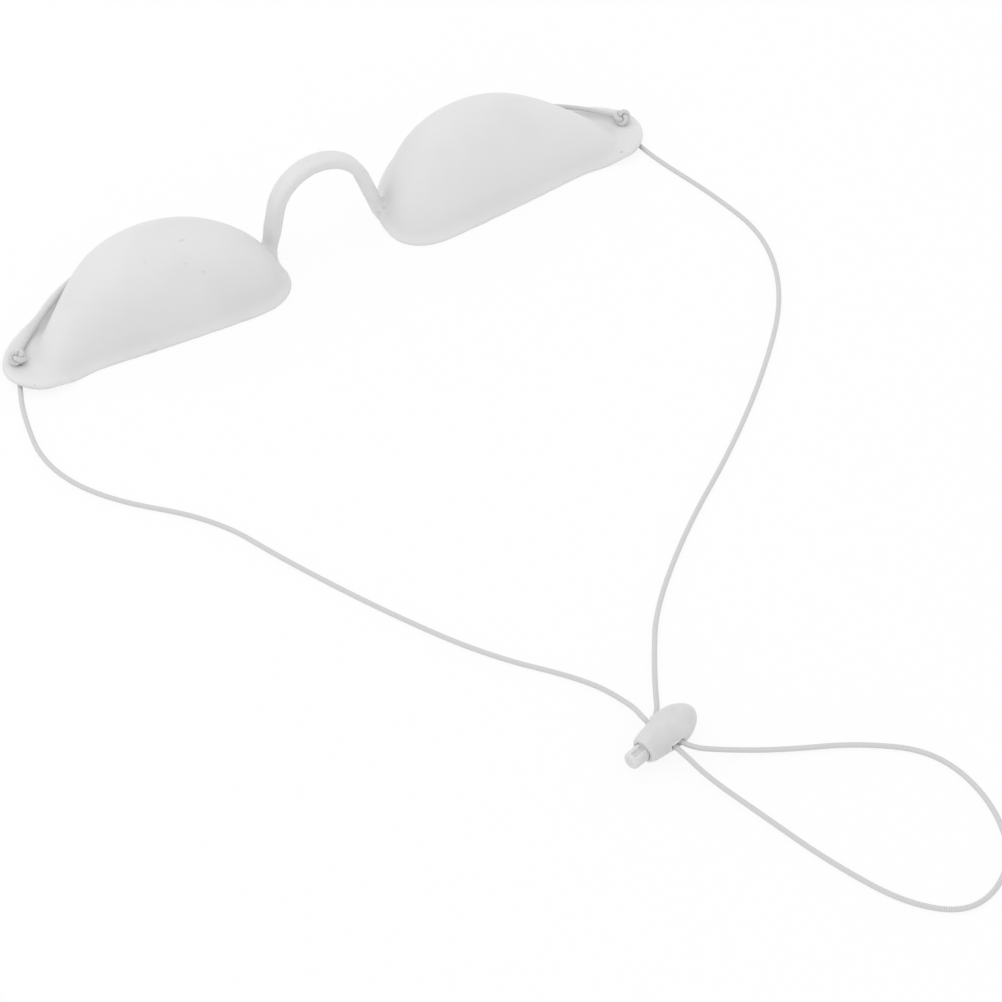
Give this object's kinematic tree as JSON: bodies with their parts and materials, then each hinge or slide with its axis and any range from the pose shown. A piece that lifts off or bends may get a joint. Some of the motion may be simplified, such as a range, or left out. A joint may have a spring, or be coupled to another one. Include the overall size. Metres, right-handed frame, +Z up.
{
  "type": "tanning goggles",
  "caption": "Pair of soft white domed eye cups on an arched nose strap, with a thin elastic head cord drawn up by a spring cord lock.",
  "frame": {"origin": "on the table, below the middle of the box round the two cups and the nose strap", "axes": "+X from the left cup to the right cup as the picture shows them, +Y towards the brow edge, +Z up out of the domes"},
  "size_m": [0.1647, 0.2305, 0.0215],
  "materials": {
    "cup_pvc": "soft satin moulded PVC",
    "elastic_cord": "fine ribbed elastic cover",
    "lock_plastic": "satin moulded plastic",
    "spring_steel": "drawn wire"
  },
  "bodies": {
    "goggles": {"left_eye_cup": "cup_pvc", "nose_bridge": "cup_pvc", "left_knot": "elastic_cord", "left_cord_tail": "elastic_cord", "left_cord": "elastic_cord", "right_cord_cup_end": "elastic_cord", "right_cord_lock_end": "elastic_cord", "cord_loop": "elastic_cord"},
    "right_cup": {"right_eye_cup": "cup_pvc", "right_knot": "elastic_cord", "right_cord_tail": "elastic_cord"},
    "cord_lock": {"lock_barrel": "lock_plastic", "lock_spring": "spring_steel"},
    "plunger": {"lock_plunger": "lock_plastic"}
  },
  "joints": [
    {"name": "bridge_flex", "type": "hinge", "parent": "goggles", "child": "right_cup", "pos_m": [0, 0.0009, 0.0199], "axis": [0, -1, 0], "range_deg": [0, 25], "stiffness_Nm_per_rad": 0.03, "deforming": ["nose_bridge", "right_cord_cup_end"]},
    {"name": "lock_slide", "type": "slide", "parent": "goggles", "child": "cord_lock", "axis": [0.2639, -0.9646, 0], "range_m": [-0.05, 0.03], "deforming": ["left_cord", "right_cord_lock_end", "cord_loop"]},
    {"name": "lock_press", "type": "slide", "parent": "cord_lock", "child": "plunger", "axis": [0.9646, 0.2639, 0], "range_m": [0, 0.002], "stiffness_N_per_m": 400, "springref_m": -0.0005, "deforming": ["lock_spring"]}
  ]
}
